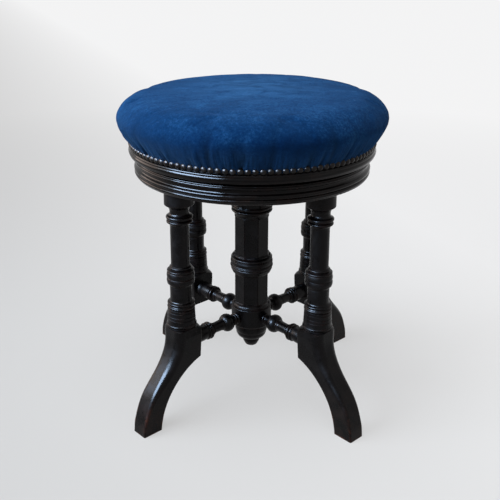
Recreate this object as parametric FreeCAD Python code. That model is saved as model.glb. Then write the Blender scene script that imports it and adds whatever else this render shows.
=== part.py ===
import FreeCAD, Part
import math
import os
from FreeCAD import Vector

# Revolving piano stool. Millimetres, +Z up. The origin is on the floor, under the centre of the
# column. The legs stand on the diagonals and the front of the stool faces -Y.
# A height is measured from the floor, a radius from the axis of the piece that it belongs to.

# Overall
SEAT_HEIGHT = 478.0            # crown of the cushion, with the seat screwed right down
SEAT_R = 197.5                 # widest part of the cushion
TRAVEL = 80.0                  # how far the seat rises
LEAD = 8.0                     # rise in one turn of the screw
LEG_RADIUS = 139.0             # leg axis from the column axis
LEG_ANGLES = {"front_left": 225.0, "front_right": 315.0, "back_left": 135.0, "back_right": 45.0}

# Clearances
SOCKET_GAP = 0.05              # glued tenon in its socket
SOCKET_END_GAP = 0.5           # tenon end to socket end
STOP_GAP = 0.3                 # seat plate above the bush when the seat is right down
LOOSE_GAP = 0.2                # loose washer, each side
RUNNING_GAP = 0.08             # screw in its bush, on the radius and across the thread

# Fixed top, the round board that the legs and the column carry
TOP_DEPTH = 124.0              # underside below the crown of the cushion, seat down
TOP_THICKNESS = 28.0
TOP_R = 173.5                  # lower bead
TOP_BEAD_R = 173.5             # upper bead
TOP_WAIST_R = 170.8            # between the beads

# Screw, bush and stop
SCREW_R = 12.0                 # crest of the thread
THREAD_DEPTH = 2.0
THREAD_CREST = 3.0             # flat on the crest
THREAD_FLANK = 0.5             # slope of each flank along the screw
SPIGOT_R = 9.0                 # top of the screw, riveted through the plate
JOURNAL_R = 7.0                # bottom of the screw, below the thread
BUSH_FLANGE_R = 36.0
BUSH_FLANGE_THICKNESS = 4.0
BUSH_R = 19.0
BUSH_LENGTH = 52.0
WASHER_R = 15.5
WASHER_THICKNESS = 3.0
NUT_FLATS = 24.0
NUT_THICKNESS = 9.0
SCREW_TAIL = 2.0               # journal past the nut

# Seat
SEAT_GAP = 3.5                 # seat board above the fixed top
OVERHANG = 20.5                # cushion beyond the board
RIM_THICKNESS = 13.0
RIM_STEP = 4.5                 # rim beyond the part that the cover is nailed to
BOARD_STEP = 10.0
COVER_THICKNESS = 1.8
CROWN_RISE = 37.0              # crown above the widest part
PLATE_R = 46.0
PLATE_THICKNESS = 6.0
NAIL_COUNT = 116
NAIL_HEAD_R = 4.3
NAIL_HEAD_RISE = 2.2
NAIL_SHANK_R = 0.8
NAIL_LENGTH = 9.0
NAIL_DROP = 4.6                # nail centre above the rim

# Wood screws in the metal flanges
WOOD_SCREW_R = 2.0
WOOD_SCREW_HEAD_R = 4.2
PLATE_SCREW_LENGTH = 15.0
BUSH_SCREW_LENGTH = 18.0
PLATE_SCREW_COUNT = 4
BUSH_SCREW_COUNT = 3
PLATE_SCREW_PCD = 68.0
BUSH_SCREW_PCD = 55.0
PLATE_SCREW_START = 45.0       # angle of the first screw
BUSH_SCREW_START = 90.0

# Column
HEAD_R = 31.2
HEAD_LENGTH = 62.0             # from the fixed top to the end of the head
TENON_R = 24.0
TENON_LENGTH = 12.0
SHAFT_R = 27.0                 # round of the shaft before the flats are cut
SHAFT_FLATS = 50.4             # across the eight flats
HEAD_FLARE = 9.0               # from the head down to the plain shaft
RING_TOP = 221.5
RING_BOTTOM = 189.5
RING_R = 32.6
LOWER_SHAFT_BOTTOM = 143.0
BOSS_TOP = 135.5
BOSS_R = 31.2
BOSS_BOTTOM = 105.0
CUP_R = 24.6
CUP_BOTTOM = 79.5
BORE_R = 17.5
BORE_FLOOR_GAP = 4.0           # below the end of the screw
FLAT_RUNOUT = 3.0              # height over which a flat runs out

# Drop under the column
DROP_R = 12.8
DROP_HEIGHT = 14.5
DROP_SPIGOT_R = 6.0
DROP_SPIGOT_LENGTH = 16.0

# Legs
LEG_HEAD_R = 21.0
LEG_TENON_R = 12.5
LEG_TENON_LENGTH = 22.0
LEG_NECK_R = 13.6
LEG_BEAD_R = 18.8
LEG_SHAFT_R = 13.4
LEG_RING_R = 19.6
LEG_LOWER_R = 15.7
LEG_COLLAR_R = 20.6
LEG_HEAD_HEIGHT = 22.5
LEG_RING_TOP = 239.5
LEG_COLLAR_TOP = 189.0
BLOCK_TOP = 147.0
BLOCK_HALF = 21.0              # half of the square stock
SHOULDER = 15.0                # height of the rounded shoulders
KNEE = 134.0                   # height where the outer face leaves the block
BLOCK_BOTTOM = 95.0            # height where the inner face ends
FOOT_REACH = 81.5              # outer face at the floor, from the leg axis
FOOT_HEEL = 50.0               # inner face at the floor, from the leg axis
FOOT_HALF = 13.2               # half of the foot's width at the floor
ARRIS = 1.8                    # rounding of the long edges
KNEE_ARRIS = 12.5              # rounding of the outer edges at the knee, where they begin

# Stretchers, level turned spindles from the boss to the leg blocks
STRETCHER_HEIGHT = 119.5
STRETCHER_BALL_R = 12.7
STRETCHER_SHAFT_R = 8.2
STRETCHER_SLEEVE_R = 12.4
STRETCHER_TENON_R = 6.5
STRETCHER_TENON_LENGTH = 15.0
STRETCHER_HUB = 33.0           # rings and ball, from the boss
STRETCHER_FLANGE = 32.0        # from the leg block to the flange

# Worked out
TOP_UNDERSIDE = SEAT_HEIGHT - TOP_DEPTH
TOP_FACE = TOP_UNDERSIDE + TOP_THICKNESS
SEAT_BOTTOM = TOP_FACE + SEAT_GAP
RIM_TOP = SEAT_BOTTOM + RIM_THICKNESS
BOARD_TOP = RIM_TOP + BOARD_STEP
BOARD_R = SEAT_R - OVERHANG
RIM_R = BOARD_R + RIM_STEP
COVER_WIDEST = SEAT_HEIGHT - CROWN_RISE
PLATE_BOTTOM = TOP_FACE + STOP_GAP
PLATE_TOP = PLATE_BOTTOM + PLATE_THICKNESS
BUSH_BOTTOM = TOP_FACE - BUSH_LENGTH
WASHER_TOP = BUSH_BOTTOM - TRAVEL
THREAD_BOTTOM = WASHER_TOP + LOOSE_GAP
NUT_TOP = WASHER_TOP - WASHER_THICKNESS - LOOSE_GAP
SCREW_END = NUT_TOP - NUT_THICKNESS - SCREW_TAIL
HEAD_END = TOP_UNDERSIDE - HEAD_LENGTH
UPPER_SHAFT_TOP = HEAD_END - HEAD_FLARE
FOOT_OUT = LEG_RADIUS + FOOT_REACH
FOOT_IN = LEG_RADIUS + FOOT_HEEL
BLOCK_INNER = LEG_RADIUS - BLOCK_HALF
BLOCK_OUTER = LEG_RADIUS + BLOCK_HALF
TINY = 0.01


def arc_middle(start, end, bow):
    """Middle point of an arc between two (r, z) points that bows away from the axis by bow."""
    dr = end[0] - start[0]
    dz = end[1] - start[1]
    length = math.hypot(dr, dz)
    out = (abs(dz) / length, -dr / length if dz > 0 else dr / length)
    return ((start[0] + end[0]) / 2 + out[0] * bow, (start[1] + end[1]) / 2 + out[1] * bow)


def outline_edges(points):
    """Edges through (r, z) points in the XZ plane; a third number is the bow of an arc."""
    edges = []
    for start, end in zip(points, points[1:]):
        a = Vector(start[0], 0, start[1])
        b = Vector(end[0], 0, end[1])
        if a.distanceToPoint(b) < TINY:
            continue
        if len(end) == 3:
            middle = arc_middle(start, end, end[2])
            edges.append(Part.Arc(a, Vector(middle[0], 0, middle[1]), b).toShape())
        else:
            edges.append(Part.LineSegment(a, b).toShape())
    return edges


def turned(points):
    """Solid turned about the Z axis from an outline that runs from top to bottom."""
    closed = [(0.0, points[0][1])] + list(points) + [(0.0, points[-1][1]), (0.0, points[0][1])]
    face = Part.Face(Part.Wire(outline_edges(closed)))
    return face.revolve(Vector(0, 0, 0), Vector(0, 0, 1), 360)


def rod(radius, bottom, top, x=0.0, y=0.0):
    """Upright cylinder between two heights."""
    return Part.makeCylinder(radius, top - bottom, Vector(x, y, bottom))


def bead(radius, height, half, rise):
    """Half-round bead, top to bottom: it stands out by rise from radius."""
    return [(radius, height + half), (radius, height - half, rise)]


def scored(radius, height):
    """Fine scored line round a turned piece."""
    return [(radius, height + 0.6), (radius - 0.7, height), (radius, height - 0.6)]


def placed(shape, angle):
    """Copy of a piece that was modelled along +X, turned to its angle."""
    copy = shape.copy()
    copy.rotate(Vector(0, 0, 0), Vector(0, 0, 1), angle)
    return copy


def around(count, start=0.0):
    """Evenly spaced angles in degrees."""
    return [start + 360.0 * i / count for i in range(count)]


def save(node, shape):
    """One STEP file per node."""
    solids = shape.Solids
    if not all(s.isValid() and s.Volume > 0 for s in solids):
        raise ValueError(node + " is not a good solid")
    shape.exportStep("parts/" + node + ".step")
    print(node, len(solids), "solids", round(shape.Volume / 1000, 2), "cm3")


def thread_ridge(root, crest, width, slope, bottom, top):
    """Right-handed helical ridge that stands out from root to crest, with a turn to spare.

    Every ridge starts a whole number of turns from the bottom of the bush, so that they mesh."""
    start = BUSH_BOTTOM - LEAD * math.ceil((BUSH_BOTTOM - bottom) / LEAD + 1)
    spine = Part.makeHelix(LEAD, top - start + LEAD, root)
    spine.translate(Vector(0, 0, start))
    inside = root - 0.6
    half_out = width / 2
    half_in = half_out + slope * (crest - inside) / (crest - root)
    section = [(inside, -half_in), (crest, -half_out), (crest, half_out), (inside, half_in)]
    corners = [Vector(r, 0, start + z) for r, z in section]
    profile = Part.makePolygon(corners + [corners[0]])
    return Part.Wire(spine).makePipeShell([profile], True, True)


def threaded_rod(crest, width, bottom, top):
    """Screw blank with its thread, cut square at both ends."""
    root = crest - THREAD_DEPTH
    ridge = thread_ridge(root, crest, width, THREAD_FLANK, bottom, top).common(rod(crest + 1, bottom, top))
    return rod(root, bottom, top).fuse(ridge)


def countersunk_screw(x, y, face, length, upward):
    """Wood screw with its flush head at the face; it points up or down from there."""
    way = 1 if upward else -1
    head = WOOD_SCREW_HEAD_R - WOOD_SCREW_R
    cone = Part.makeCone(WOOD_SCREW_HEAD_R, WOOD_SCREW_R, head, Vector(x, y, face), Vector(0, 0, way))
    taper = 3.0
    body = Part.makeCylinder(WOOD_SCREW_R, length - taper, Vector(x, y, face), Vector(0, 0, way))
    start = Vector(x, y, face + way * (length - taper))
    point = Part.makeCone(WOOD_SCREW_R, 0.2, taper, start, Vector(0, 0, way))
    slot = Part.makeBox(2 * WOOD_SCREW_HEAD_R, 1.0, 2.0, Vector(x - WOOD_SCREW_HEAD_R, y - 0.5, face - 1.0))
    return cone.fuse(body).fuse(point).removeSplitter().cut(slot)


def screw_ring(count, pcd, face, length, upward, start):
    """Ring of wood screws, and the same ring to cut their holes."""
    spots = [(pcd / 2 * math.cos(math.radians(a)), pcd / 2 * math.sin(math.radians(a)))
             for a in around(count, start)]
    return Part.Compound([countersunk_screw(x, y, face, length, upward) for x, y in spots])


def screw_holes(count, pcd, face, length, upward, start):
    """Holes that the wood screws fill, open at the face."""
    way = 1 if upward else -1
    head = WOOD_SCREW_HEAD_R - WOOD_SCREW_R
    holes = []
    for a in around(count, start):
        spot = Vector(pcd / 2 * math.cos(math.radians(a)), pcd / 2 * math.sin(math.radians(a)), face)
        cone = Part.makeCone(WOOD_SCREW_HEAD_R + SOCKET_GAP, WOOD_SCREW_R + SOCKET_GAP, head,
                             spot, Vector(0, 0, way))
        body = Part.makeCylinder(WOOD_SCREW_R + SOCKET_GAP, length + SOCKET_END_GAP, spot, Vector(0, 0, way))
        holes.append(cone.fuse(body))
    return Part.Compound(holes)


def cushion_points():
    """Outline of the cushion from the crown down to the rim, as (r, z)."""
    rise = SEAT_HEIGHT - COVER_WIDEST
    fall = COVER_WIDEST - RIM_TOP
    foot = BOARD_R + COVER_THICKNESS
    flare = SEAT_R - foot
    return [(0.0, SEAT_HEIGHT), (0.4 * SEAT_R, SEAT_HEIGHT - 0.03 * rise),
            (0.66 * SEAT_R, SEAT_HEIGHT - 0.09 * rise), (0.81 * SEAT_R, SEAT_HEIGHT - 0.18 * rise),
            (0.9 * SEAT_R, COVER_WIDEST + 0.68 * rise), (0.967 * SEAT_R, COVER_WIDEST + 0.37 * rise),
            (SEAT_R, COVER_WIDEST), (SEAT_R - 0.09 * flare, COVER_WIDEST - 0.23 * fall),
            (foot + 0.46 * flare, RIM_TOP + 0.4 * fall), (foot + 0.1 * flare, RIM_TOP + 0.17 * fall),
            (foot, RIM_TOP)]


def inset(points, depth):
    """The same outline moved inwards, square to itself; its ends stay on the axis and the rim."""
    moved = [(0.0, points[0][1] - depth)]
    for before, here, after in zip(points, points[1:], points[2:]):
        dr = after[0] - before[0]
        dz = after[1] - before[1]
        length = math.hypot(dr, dz)
        moved.append((here[0] + dz / length * depth, here[1] - dr / length * depth))
    return moved + [(points[-1][0] - depth, points[-1][1])]


def domed(points):
    """Solid turned from a smooth outline through (r, z) points, flat below."""
    curve = Part.BSplineCurve()
    curve.interpolate([Vector(r, 0, z) for r, z in points])
    last = points[-1]
    floor = [(last[0], last[1]), (0.0, last[1]), (0.0, points[0][1])]
    face = Part.Face(Part.Wire([curve.toShape()] + outline_edges(floor)))
    return face.revolve(Vector(0, 0, 0), Vector(0, 0, 1), 360)


def seat_pieces():
    """Cushion, board, nails and the iron plate that joins the seat to its screw."""
    outer = cushion_points()
    inner = domed(inset(outer, COVER_THICKNESS))
    board = turned([(BOARD_R, BOARD_TOP), (BOARD_R, RIM_TOP), (RIM_R - 3.0, RIM_TOP),
                    (RIM_R - 1.0, RIM_TOP - 4.0, 0.9), (RIM_R - 1.0, SEAT_BOTTOM + 3.0, 1.0),
                    (RIM_R - 4.5, SEAT_BOTTOM, 0.9)])
    rivet_r = SPIGOT_R + 3.0
    rivet_top = PLATE_TOP + 3.0
    board = board.cut(rod(PLATE_R + SOCKET_GAP, SEAT_BOTTOM - 1, PLATE_TOP))
    board = board.cut(rod(rivet_r + 1.0, SEAT_BOTTOM, rivet_top + SOCKET_END_GAP))
    screws = (PLATE_SCREW_COUNT, PLATE_SCREW_PCD, PLATE_BOTTOM, PLATE_SCREW_LENGTH, True, PLATE_SCREW_START)
    holes = screw_holes(*screws)
    plate = turned([(PLATE_R, PLATE_TOP), (PLATE_R, PLATE_BOTTOM + 1.5), (PLATE_R - 1.5, PLATE_BOTTOM, 0.4)])
    plate = plate.cut(rod(SPIGOT_R + SOCKET_GAP, PLATE_BOTTOM - 1, PLATE_TOP + 1)).cut(holes)
    save("seat_cover", domed(outer).cut(inner))
    save("seat_stuffing", inner.common(rod(SEAT_R, BOARD_TOP, SEAT_HEIGHT)))
    save("seat_board", board.cut(holes))
    save("seat_plate", plate)
    save("seat_plate_screws", screw_ring(*screws))
    head = turned([(rivet_r, rivet_top), (rivet_r, PLATE_TOP)])
    spigot = rod(SPIGOT_R, PLATE_BOTTOM, rivet_top)
    thread = threaded_rod(SCREW_R, THREAD_CREST, THREAD_BOTTOM, PLATE_BOTTOM)
    journal = rod(JOURNAL_R, SCREW_END, THREAD_BOTTOM)
    save("seat_screw", thread.fuse([head, spigot, journal]).removeSplitter())
    save("upholstery_nails", nails())


def nails():
    """Ring of dome-headed nails through the cover into the rebate of the board."""
    seat_r = BOARD_R + COVER_THICKNESS
    curve = (NAIL_HEAD_R ** 2 + NAIL_HEAD_RISE ** 2) / (2 * NAIL_HEAD_RISE)
    ball = Part.makeSphere(curve, Vector(NAIL_HEAD_RISE - curve, 0, 0))
    head = ball.common(Part.makeCylinder(NAIL_HEAD_R + 1, NAIL_HEAD_RISE, Vector(0, 0, 0), Vector(1, 0, 0)))
    shank = Part.makeCone(NAIL_SHANK_R, 0.2, NAIL_LENGTH, Vector(0, 0, 0), Vector(-1, 0, 0))
    nail = head.fuse(shank)
    nail.translate(Vector(seat_r + 0.7, 0, RIM_TOP + NAIL_DROP))
    return Part.Compound([placed(nail, angle) for angle in around(NAIL_COUNT)])


def stop_pieces():
    """Loose washer and nut on the journal, which stop the screw at the bottom of the bush."""
    washer = rod(WASHER_R, WASHER_TOP - WASHER_THICKNESS, WASHER_TOP)
    save("stop_washer", washer.cut(rod(JOURNAL_R + RUNNING_GAP, SCREW_END, WASHER_TOP + 1)))
    corner = NUT_FLATS / 2 / math.cos(math.pi / 6)
    corners = [Vector(corner * math.cos(math.radians(a)), corner * math.sin(math.radians(a)), NUT_TOP)
               for a in around(6)]
    blank = Part.Face(Part.makePolygon(corners + [corners[0]])).extrude(Vector(0, 0, -NUT_THICKNESS))
    bevel = turned([(NUT_FLATS / 2, NUT_TOP), (corner, NUT_TOP - 1.0),
                    (corner, NUT_TOP - NUT_THICKNESS + 1.0), (NUT_FLATS / 2, NUT_TOP - NUT_THICKNESS)])
    nut = blank.common(bevel).cut(rod(JOURNAL_R, SCREW_END - 1, NUT_TOP + 1))
    save("stop_nut", nut)


def fixed_top_pieces():
    """Moulded round top, and the iron bush with the thread that the seat screw runs in."""
    h = TOP_UNDERSIDE
    t = TOP_FACE
    board = turned([(TOP_BEAD_R - 3.5, t), (TOP_BEAD_R - 1.0, t - 2.2, 0.9), (TOP_BEAD_R - 1.0, t - 6.0, 1.0),
                    (TOP_WAIST_R, t - 7.0), (TOP_WAIST_R, h + 16.5, -0.6), (TOP_R - 1.6, h + 15.5),
                    (TOP_R - 0.8, h + 9.6, 1.7), (TOP_R - 1.4, h + 8.8), (TOP_R - 1.4, h + 3.8, 1.5),
                    (TOP_R - 5.0, h + 1.0, 0.9), (TOP_R - 10.0, h, 0.4)])
    tenon_top = h + TENON_LENGTH + SOCKET_END_GAP
    board = board.cut(rod(TENON_R + SOCKET_GAP, h - 1, tenon_top))
    board = board.cut(rod(BUSH_R + SOCKET_GAP, h, t + 1))
    board = board.cut(rod(BUSH_FLANGE_R + SOCKET_GAP, t - BUSH_FLANGE_THICKNESS, t + 1))
    for angle in LEG_ANGLES.values():
        x = LEG_RADIUS * math.cos(math.radians(angle))
        y = LEG_RADIUS * math.sin(math.radians(angle))
        board = board.cut(rod(LEG_TENON_R + SOCKET_GAP, h - 1, h + LEG_TENON_LENGTH + SOCKET_END_GAP, x, y))
    screws = (BUSH_SCREW_COUNT, BUSH_SCREW_PCD, t, BUSH_SCREW_LENGTH, False, BUSH_SCREW_START)
    holes = screw_holes(*screws)
    save("fixed_top", board.cut(holes))
    bush = turned([(BUSH_FLANGE_R, t), (BUSH_FLANGE_R, t - BUSH_FLANGE_THICKNESS),
                   (BUSH_R, t - BUSH_FLANGE_THICKNESS), (BUSH_R, BUSH_BOTTOM)])
    cutter = threaded_rod(SCREW_R + RUNNING_GAP, THREAD_CREST + 2 * RUNNING_GAP, BUSH_BOTTOM - 1, t + 1)
    save("screw_bush", bush.cut(cutter).cut(holes))
    save("bush_screws", screw_ring(*screws))


def flat_cutter(bottom, top):
    """Slab outside one flat of the shaft; its ends slope away so that the flat runs out."""
    flat = SHAFT_FLATS / 2
    out = flat + FLAT_RUNOUT
    points = [(flat, bottom + FLAT_RUNOUT), (flat, top - FLAT_RUNOUT), (out, top), (out, bottom),
              (flat, bottom + FLAT_RUNOUT)]
    face = Part.Face(Part.Wire(outline_edges(points)))
    face.translate(Vector(0, -SHAFT_R, 0))
    return face.extrude(Vector(0, 2 * SHAFT_R, 0))


def column_pieces():
    """Centre column that houses the screw, with the boss for the stretchers, and its drop."""
    h = TOP_UNDERSIDE
    neck = SHAFT_R - 0.6
    points = [(TENON_R, h + TENON_LENGTH), (TENON_R, h), (HEAD_R, h), (HEAD_R, HEAD_END + 24.0)]
    points += bead(HEAD_R - 0.8, HEAD_END + 20.0, 2.6, 1.4)
    points += [(HEAD_R, HEAD_END + 16.0), (HEAD_R, HEAD_END + 10.5), (HEAD_R - 1.7, HEAD_END + 9.3)]
    points += bead(HEAD_R - 1.4, HEAD_END + 6.3, 2.3, 1.6)
    points += [(HEAD_R - 2.4, HEAD_END + 3.4)]
    points += bead(HEAD_R - 1.6, HEAD_END + 0.8, 2.0, 1.6)
    points += [(neck, UPPER_SHAFT_TOP + 1.0, -0.8), (SHAFT_R, UPPER_SHAFT_TOP - 2.0)]
    points += [(SHAFT_R, RING_TOP)]
    points += bead(SHAFT_R + 0.6, RING_TOP - 1.7, 1.6, 1.3)
    points += [(SHAFT_R + 2.2, RING_TOP - 3.6)]
    points += bead(RING_R - 2.4, RING_TOP - 6.0, 1.9, 1.6)
    points += [(RING_R - 1.7, RING_TOP - 8.6)]
    points += [(RING_R - 0.6, RING_TOP - 9.6), (RING_R - 0.6, RING_TOP - 15.2, 0.6)]
    points += [(RING_R - 1.5, RING_TOP - 16.2)]
    points += bead(RING_R - 1.0, RING_TOP - 18.8, 1.9, 1.4)
    points += [(RING_R - 1.3, RING_TOP - 21.4), (RING_R - 1.6, RING_BOTTOM + 6.5, 0.7)]
    points += [(SHAFT_R, RING_BOTTOM, 0.6)]
    points += [(SHAFT_R, LOWER_SHAFT_BOTTOM), (SHAFT_R + 1.0, BOSS_TOP + 2.2, -0.8)]
    points += [(SHAFT_R + 1.6, BOSS_TOP), (BOSS_R - 1.2, BOSS_TOP), (BOSS_R, BOSS_TOP - 1.2, 0.35)]
    points += [(BOSS_R, BOSS_BOTTOM + 3.0), (BOSS_R - 2.0, BOSS_BOTTOM, 0.7)]
    points += [(CUP_R + 0.4, BOSS_BOTTOM - 3.0, -0.8), (CUP_R + 0.2, BOSS_BOTTOM - 12.0, 0.6)]
    points += [(CUP_R - 0.8, CUP_BOTTOM + 11.0), (DROP_R + 1.6, CUP_BOTTOM, 2.8), (DROP_R, CUP_BOTTOM)]
    column = turned(points)
    upper_flats = (RING_TOP - 2.5, UPPER_SHAFT_TOP + 2.5)
    lower_flats = (LOWER_SHAFT_BOTTOM - 2.5, RING_BOTTOM + 2.5)
    for ends in (upper_flats, lower_flats):
        cutter = flat_cutter(*ends)
        for angle in around(8):
            column = column.cut(placed(cutter, angle))
    column = column.cut(rod(BUSH_R + SOCKET_GAP, BUSH_BOTTOM, h + TENON_LENGTH + 1))
    column = column.cut(rod(BORE_R, SCREW_END - BORE_FLOOR_GAP, BUSH_BOTTOM))
    socket = stretcher_socket(boss_seat() - STRETCHER_TENON_LENGTH, boss_seat())
    for angle in LEG_ANGLES.values():
        column = column.cut(placed(socket, angle))
    spigot_top = CUP_BOTTOM + DROP_SPIGOT_LENGTH
    drop_socket = rod(DROP_SPIGOT_R + SOCKET_GAP, CUP_BOTTOM - 1, spigot_top + SOCKET_END_GAP)
    save("centre_column", column.cut(drop_socket))
    bottom = CUP_BOTTOM - DROP_HEIGHT
    drop = turned([(DROP_SPIGOT_R, spigot_top), (DROP_SPIGOT_R, CUP_BOTTOM), (DROP_R, CUP_BOTTOM),
                   (DROP_R - 2.2, bottom + 4.0, 1.3), (DROP_R - 7.5, bottom, 1.3)])
    save("column_drop", drop)


def boss_seat():
    """Distance from the column axis at which a stretcher meets the boss."""
    return BOSS_R + 0.1


def stretcher_socket(start, end):
    """Level hole for a stretcher tenon, along +X between two distances from the column axis."""
    length = end - start + SOCKET_END_GAP + 1.0
    origin = start - SOCKET_END_GAP if end <= boss_seat() else start - 1.0
    return Part.makeCylinder(STRETCHER_TENON_R + SOCKET_GAP, length,
                             Vector(origin, 0, STRETCHER_HEIGHT), Vector(1, 0, 0))


def stretcher():
    """Turned spindle along +X: rings and a ball by the boss, a plain shaft, a flanged sleeve."""
    start = boss_seat()
    end = BLOCK_INNER
    shaft = STRETCHER_SHAFT_R
    ball = STRETCHER_BALL_R
    sleeve = STRETCHER_SLEEVE_R
    tenon = STRETCHER_TENON_R
    far = end - STRETCHER_FLANGE
    hub = start + STRETCHER_HUB
    points = [(tenon, start - STRETCHER_TENON_LENGTH), (tenon, start), (shaft - 0.2, start)]
    points += [(shaft - 0.2, start + 3.0, 1.0), (shaft - 1.6, start + 4.0)]
    points += [(shaft - 0.6, start + 4.6), (shaft - 0.6, start + 8.2, 1.5), (shaft - 1.2, start + 9.2)]
    points += [(ball - 3.4, start + 12.4, -0.5), (ball - 3.6, hub - 4.0, 4.6)]
    points += [(shaft + 0.4, hub - 2.0, -0.4), (shaft + 0.4, hub), (shaft, hub + 1.0)]
    points += [(shaft - 0.5, far - 6.5)]
    points += [(shaft - 0.3, far - 6.0), (shaft - 0.3, far - 3.4, 1.2), (shaft - 0.4, far - 3.0)]
    points += [(shaft + 1.4, far, -0.8), (sleeve - 0.6, far + 0.6), (sleeve - 0.6, far + 4.2, 1.4)]
    points += [(sleeve - 1.6, far + 5.2), (sleeve - 0.8, far + 6.0), (sleeve - 0.8, far + 9.4, 1.3)]
    points += [(sleeve - 1.4, far + 10.4), (sleeve - 0.6, end - 6.0, 0.4), (sleeve + 0.6, end, -0.4)]
    points += [(tenon, end), (tenon, end + STRETCHER_TENON_LENGTH)]
    closed = [(0.0, points[0][1])] + points + [(0.0, points[-1][1]), (0.0, points[0][1])]
    solid = Part.Face(Part.Wire(outline_edges(closed))).revolve(Vector(0, 0, 0), Vector(0, 0, 1), 360)
    solid.rotate(Vector(0, 0, 0), Vector(0, 1, 0), 90)
    solid.translate(Vector(0, 0, STRETCHER_HEIGHT))
    return solid


def leg_turning():
    """Turned upper part of a leg about its own axis, down to the top of the block."""
    h = TOP_UNDERSIDE
    head = h - LEG_HEAD_HEIGHT
    ring = LEG_RING_TOP
    collar = LEG_COLLAR_TOP
    points = [(LEG_TENON_R, h + LEG_TENON_LENGTH), (LEG_TENON_R, h), (LEG_HEAD_R, h)]
    points += [(LEG_HEAD_R, head + 1.6), (LEG_HEAD_R - 1.4, head, 0.3), (LEG_HEAD_R - 3.2, head - 1.0)]
    points += [(LEG_NECK_R, head - 8.5, -1.0), (LEG_NECK_R, head - 10.5)]
    points += [(LEG_BEAD_R - 2.0, head - 15.0, -0.9)]
    points += [(LEG_BEAD_R - 1.8, head - 20.2, 2.0), (LEG_BEAD_R - 3.0, head - 21.2)]
    points += [(LEG_BEAD_R - 2.2, head - 22.0), (LEG_BEAD_R - 2.2, head - 26.0, 1.7)]
    points += [(LEG_SHAFT_R + 0.3, head - 30.5, -0.7), (LEG_SHAFT_R, head - 32.0)]
    points += [(LEG_SHAFT_R, ring + 1.5)]
    points += [(LEG_SHAFT_R + 1.0, ring + 0.6), (LEG_SHAFT_R + 1.6, ring - 2.8, 1.3)]
    points += [(LEG_RING_R - 3.6, ring - 3.4), (LEG_RING_R - 1.6, ring - 4.0)]
    points += [(LEG_RING_R - 1.1, ring - 7.0, 1.1), (LEG_RING_R - 1.2, ring - 7.6)]
    points += [(LEG_RING_R - 0.3, ring - 8.6), (LEG_RING_R - 0.1, ring - 15.8, 0.5)]
    points += [(LEG_RING_R - 0.8, ring - 16.6), (LEG_RING_R, ring - 17.4)]
    points += [(LEG_RING_R - 0.3, ring - 23.6, 0.5)]
    points += [(LEG_RING_R - 2.4, ring - 26.2, 0.7), (LEG_LOWER_R, ring - 31.0, -0.8)]
    points += [(LEG_LOWER_R - 0.2, (ring - 31.0 + collar) / 2), (LEG_LOWER_R, collar)]
    points += [(LEG_COLLAR_R - 2.6, collar - 3.0, -0.6), (LEG_COLLAR_R - 2.0, collar - 6.8, 1.5)]
    points += [(LEG_COLLAR_R - 2.4, collar - 7.8), (LEG_COLLAR_R - 1.9, collar - 8.8)]
    points += [(LEG_COLLAR_R - 1.8, collar - 12.6, 1.4), (LEG_COLLAR_R - 2.2, collar - 13.4)]
    points += [(LEG_COLLAR_R - 0.9, collar - 14.4)]
    for drop in (17.5, 24.0, 29.0):
        points += scored(LEG_COLLAR_R - 0.9 + 0.05 * (drop - 14.4), collar - drop)
    points += [(LEG_COLLAR_R, collar - 34.0), (LEG_COLLAR_R + 0.4, collar - 36.6)]
    points += [(LEG_COLLAR_R + 0.2, collar - 39.8, 1.0), (LEG_COLLAR_R - 0.7, collar - 41.2)]
    points += [(LEG_COLLAR_R - 0.3, collar - 42.5), (LEG_COLLAR_R - 0.3, BLOCK_TOP - 14.0)]
    return turned(points)


def leg_block():
    """Square knee block that sweeps out into the foot, along +X with its axis at LEG_RADIUS."""
    sweep = FOOT_OUT - BLOCK_OUTER
    outer = Part.BSplineCurve()
    outer.interpolate([Vector(BLOCK_OUTER, 0, KNEE), Vector(BLOCK_OUTER + 0.11 * sweep, 0, 0.8 * KNEE),
                       Vector(BLOCK_OUTER + 0.35 * sweep, 0, 0.63 * KNEE),
                       Vector(BLOCK_OUTER + 0.66 * sweep, 0, 0.46 * KNEE),
                       Vector(BLOCK_OUTER + 0.85 * sweep, 0, 0.305 * KNEE),
                       Vector(BLOCK_OUTER + 0.955 * sweep, 0, 0.16 * KNEE), Vector(FOOT_OUT, 0, 0)],
                      InitialTangent=Vector(0, 0, -1), FinalTangent=Vector(0.06, 0, -1))
    reach = FOOT_IN - BLOCK_INNER
    inner = Part.BSplineCurve()
    inner.interpolate([Vector(FOOT_IN, 0, 0), Vector(FOOT_IN - 0.06 * reach, 0, 0.25 * BLOCK_BOTTOM),
                       Vector(BLOCK_INNER + 0.83 * reach, 0, 0.46 * BLOCK_BOTTOM),
                       Vector(BLOCK_INNER + 0.64 * reach, 0, 0.67 * BLOCK_BOTTOM),
                       Vector(BLOCK_INNER + 0.33 * reach, 0, 0.88 * BLOCK_BOTTOM),
                       Vector(BLOCK_INNER, 0, BLOCK_BOTTOM)])
    corners = [Vector(BLOCK_INNER, 0, BLOCK_BOTTOM), Vector(BLOCK_INNER, 0, BLOCK_TOP),
               Vector(BLOCK_OUTER, 0, BLOCK_TOP), Vector(BLOCK_OUTER, 0, KNEE)]
    edges = [outer.toShape(), Part.makeLine(Vector(FOOT_OUT, 0, 0), Vector(FOOT_IN, 0, 0)), inner.toShape()]
    edges += [Part.makeLine(a, b) for a, b in zip(corners, corners[1:])]
    side = Part.Face(Part.Wire(edges))
    side.translate(Vector(0, -BLOCK_HALF, 0))
    block = side.extrude(Vector(0, 2 * BLOCK_HALF, 0))
    block = block.common(foot_taper())
    return block.common(shoulder())


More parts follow.
